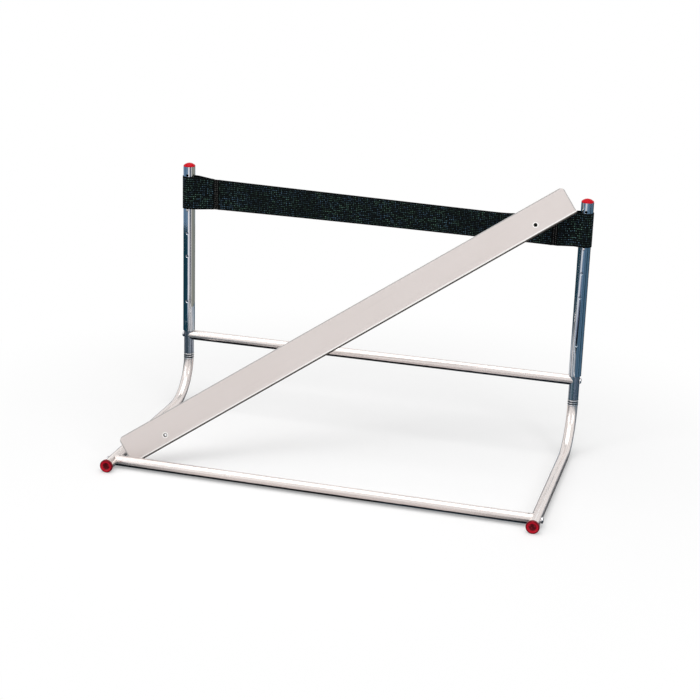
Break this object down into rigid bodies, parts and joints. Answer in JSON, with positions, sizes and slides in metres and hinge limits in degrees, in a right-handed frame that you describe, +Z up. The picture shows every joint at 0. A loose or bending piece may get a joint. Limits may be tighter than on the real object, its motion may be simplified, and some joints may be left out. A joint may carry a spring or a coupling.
{
  "type": "track hurdle",
  "caption": "Free-standing training hurdle with L-shaped tube legs, sliding uprights, a stretched elastic band as its top bar, and a loose hurdle board.",
  "frame": {"origin": "on the floor, at the middle of the hurdle's box in plan", "axes": "+X along the crossbars towards the right upright, the feet point to -Y, +Z up"},
  "size_m": [1.3128, 0.7123, 0.8245],
  "materials": {
    "steel_tube": "bright plated steel tube",
    "aluminium_tube": "bright drawn aluminium tube",
    "red_cap": "glossy moulded",
    "plated_steel": "bright plated",
    "spring_steel": "plain",
    "grey_plastic": "moulded",
    "elastic_webbing": "woven elastic webbing",
    "painted_board": "satin white paint"
  },
  "bodies": {
    "frame": {"front_crossbar": "steel_tube", "front_left_bolt": "plated_steel", "front_left_insert": "grey_plastic", "front_right_bolt": "plated_steel", "front_right_insert": "grey_plastic", "left_button_spring": "spring_steel", "left_foot_cap": "red_cap", "left_leg_tube": "steel_tube", "rear_crossbar": "steel_tube", "rear_left_bolt": "plated_steel", "rear_left_insert": "grey_plastic", "rear_right_bolt": "plated_steel", "rear_right_insert": "grey_plastic", "right_button_spring": "spring_steel", "right_foot_cap": "red_cap", "right_leg_tube": "steel_tube"},
    "left_upright": {"left_upright_tube": "aluminium_tube", "left_top_cap": "red_cap", "elastic_band": "elastic_webbing"},
    "right_upright": {"right_upright_tube": "aluminium_tube", "right_top_cap": "red_cap"},
    "left_button": {"left_snap_button": "plated_steel"},
    "right_button": {"right_snap_button": "plated_steel"},
    "board": {"board": "painted_board"}
  },
  "joints": [
    {"name": "left_upright_slide", "type": "slide", "parent": "frame", "child": "left_upright", "axis": [0, 0, 1], "range_m": [0, 0.3048], "deforming": ["left_snap_button", "right_snap_button"]},
    {"name": "right_upright_slide", "type": "slide", "parent": "frame", "child": "right_upright", "axis": [0, 0, 1], "range_m": [0, 0.3048]},
    {"name": "left_button_press", "type": "slide", "parent": "frame", "child": "left_button", "axis": [0, 1, 0], "range_m": [0, 0.00618], "stiffness_N_per_m": 800, "springref_m": -0.003, "deforming": ["left_button_spring"]},
    {"name": "right_button_press", "type": "slide", "parent": "frame", "child": "right_button", "axis": [0, 1, 0], "range_m": [0, 0.00618], "stiffness_N_per_m": 800, "springref_m": -0.003, "deforming": ["right_button_spring"]},
    {"name": "board_lift_off", "type": "slide", "parent": "frame", "child": "board", "axis": [0, 0, 1], "range_m": [0, 0.9]}
  ],
  "couplings": [
    {"joint": "right_upright_slide", "follows": "left_upright_slide", "ratio": 1}
  ]
}
